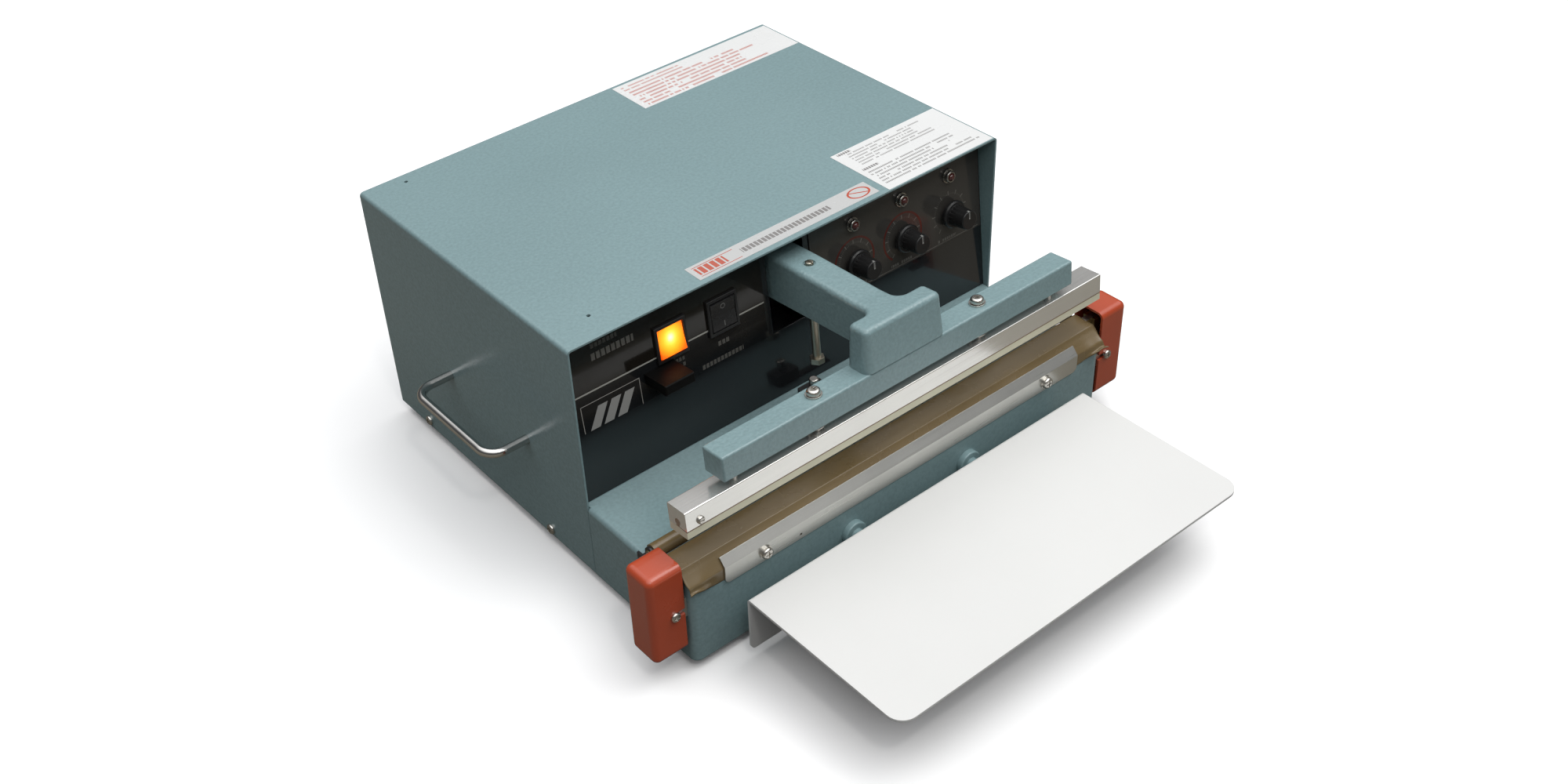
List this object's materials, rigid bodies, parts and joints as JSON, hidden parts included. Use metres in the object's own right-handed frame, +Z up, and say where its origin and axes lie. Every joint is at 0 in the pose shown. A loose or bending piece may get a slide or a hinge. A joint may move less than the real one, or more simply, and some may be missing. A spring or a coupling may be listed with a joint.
{
  "type": "impulse heat sealer",
  "caption": "Table-top automatic impulse heat sealer: a solenoid-driven press arm closes a spring-floated jaw on a cloth-covered heated bar, with a work shelf and timer controls.",
  "frame": {"origin": "centre of the bounding box at the level of the feet", "axes": "+X along the seal, to the side with the timer knobs; +Y from the work shelf to the back of the case; +Z up"},
  "size_m": [0.4478, 0.536, 0.1977],
  "materials": {
    "blue_paint": "fine orange-peel satin enamel",
    "cast_blue_paint": "satin enamel on a casting",
    "zinc_steel": "zinc plated",
    "chrome": "polished",
    "aluminium": "satin milled",
    "clamp_aluminium": "matt bent strip",
    "silicone": "matt cream rubber",
    "release_cloth": "glass cloth coated in fluoropolymer, semi-gloss",
    "red_plastic": "gloss moulded",
    "white_paint": "satin white powder coat",
    "black_plastic": "satin moulded",
    "black_gloss": "gloss printed overlay",
    "feet_rubber": "matt",
    "sticker": "blank printed film",
    "amber_lens": "lit translucent",
    "red_lens": "translucent",
    "copper_winding": "taped coil",
    "iron_core": "laminated",
    "brass": "turned",
    "nichrome": "flat ribbon",
    "insulator": "woven glass strip",
    "board": "solder-masked board"
  },
  "bodies": {
    "case": {"base_plate": "blue_paint", "cap_brackets": "zinc_steel", "case_cover": "blue_paint", "case_screws": "zinc_steel", "clamp_screws": "zinc_steel", "closing_switch": "black_plastic", "cloth_clamp": "clamp_aluminium", "control_plate": "black_gloss", "element_terminals": "brass", "foot_switch_jack": "zinc_steel", "front_housing": "blue_paint", "front_panel": "black_gloss", "fuse_holder": "black_plastic", "heating_element": "nichrome", "indicator_bezels": "chrome", "indicator_lenses": "red_lens", "information_labels": "sticker", "insulation_strip": "insulator", "left_end_cap": "red_plastic", "left_handle": "chrome", "lower_bar": "aluminium", "pivot_frame": "zinc_steel", "pivot_shaft": "zinc_steel", "potentiometers": "black_plastic", "power_inlet": "black_plastic", "ptfe_cloth": "release_cloth", "rear_panel": "blue_paint", "return_spring": "zinc_steel", "right_end_cap": "red_plastic", "right_handle": "chrome", "roll_brackets": "black_plastic", "rubber_feet": "feet_rubber", "shelf_screws": "zinc_steel", "shelf_spacers": "blue_paint", "solenoid_coil": "copper_winding", "solenoid_frame": "iron_core", "switch_bodies": "black_plastic", "switch_guard": "black_gloss", "timer_board": "board", "transformer": "iron_core", "work_shelf": "white_paint"},
    "arm": {"press_arm": "cast_blue_paint", "link_pin": "zinc_steel", "stop_bolt": "zinc_steel", "pressure_beam": "cast_blue_paint", "beam_washers": "zinc_steel"},
    "jaw": {"upper_jaw": "aluminium", "silicone_strip": "silicone", "spring_bolts": "zinc_steel", "guide_pins": "zinc_steel", "strip_screws": "zinc_steel", "jaw_springs": "zinc_steel"},
    "plunger": {"solenoid_plunger": "zinc_steel"},
    "power_switch": {"power_rocker": "amber_lens"},
    "action_switch": {"action_rocker": "black_plastic"},
    "sealing_knob": {"sealing_time_knob": "black_plastic"},
    "cooling_knob": {"cooling_time_knob": "black_plastic"},
    "recycle_knob": {"recycle_time_knob": "black_plastic"},
    "cloth_roll": {"ptfe_roll": "release_cloth"},
    "stop_button": {"switch_button": "zinc_steel"}
  },
  "joints": [
    {"name": "arm_hinge", "type": "hinge", "parent": "case", "child": "arm", "pos_m": [0, 0.186, 0.148], "axis": [1, 0, 0], "range_deg": [0, 4.7], "stiffness_Nm_per_rad": 12, "springref_deg": -57.3, "deforming": ["return_spring"]},
    {"name": "jaw_float", "type": "slide", "parent": "arm", "child": "jaw", "axis": [0, 0.0825, 0.9966], "range_m": [0, 0.004], "stiffness_N_per_m": 4000, "springref_m": -0.005, "deforming": ["jaw_springs"]},
    {"name": "plunger_slide", "type": "slide", "parent": "case", "child": "plunger", "axis": [0, 0, 1], "range_m": [-0.0109, 0]},
    {"name": "power_rocker_tilt", "type": "hinge", "parent": "case", "child": "power_switch", "pos_m": [-0.1025, 0.01073, 0.15639], "axis": [1, 0, 0], "range_deg": [0, 16]},
    {"name": "action_rocker_tilt", "type": "hinge", "parent": "case", "child": "action_switch", "pos_m": [-0.0585, 0.01073, 0.15639], "axis": [1, 0, 0], "range_deg": [-8, 8]},
    {"name": "sealing_time_turn", "type": "hinge", "parent": "case", "child": "sealing_knob", "pos_m": [0.0615, -0.00163, 0.14459], "axis": [0, -0.994, 0.1093], "range_deg": [-140, 140]},
    {"name": "cooling_time_turn", "type": "hinge", "parent": "case", "child": "cooling_knob", "pos_m": [0.1085, -0.00163, 0.14459], "axis": [0, -0.994, 0.1093], "range_deg": [-140, 140]},
    {"name": "recycle_time_turn", "type": "hinge", "parent": "case", "child": "recycle_knob", "pos_m": [0.1555, -0.00163, 0.14459], "axis": [0, -0.994, 0.1093], "range_deg": [-140, 140]},
    {"name": "cloth_roll_spin", "type": "hinge", "parent": "case", "child": "cloth_roll", "pos_m": [0, -0.079, 0.082], "axis": [1, 0, 0], "continuous": true},
    {"name": "stop_button_press", "type": "slide", "parent": "case", "child": "stop_button", "axis": [0, 0, 1], "range_m": [-0.003, 0], "stiffness_N_per_m": 400, "springref_m": 0.002}
  ],
  "couplings": [
    {"joint": "plunger_slide", "follows": "arm_hinge", "m_per_rad": -0.1303}
  ]
}
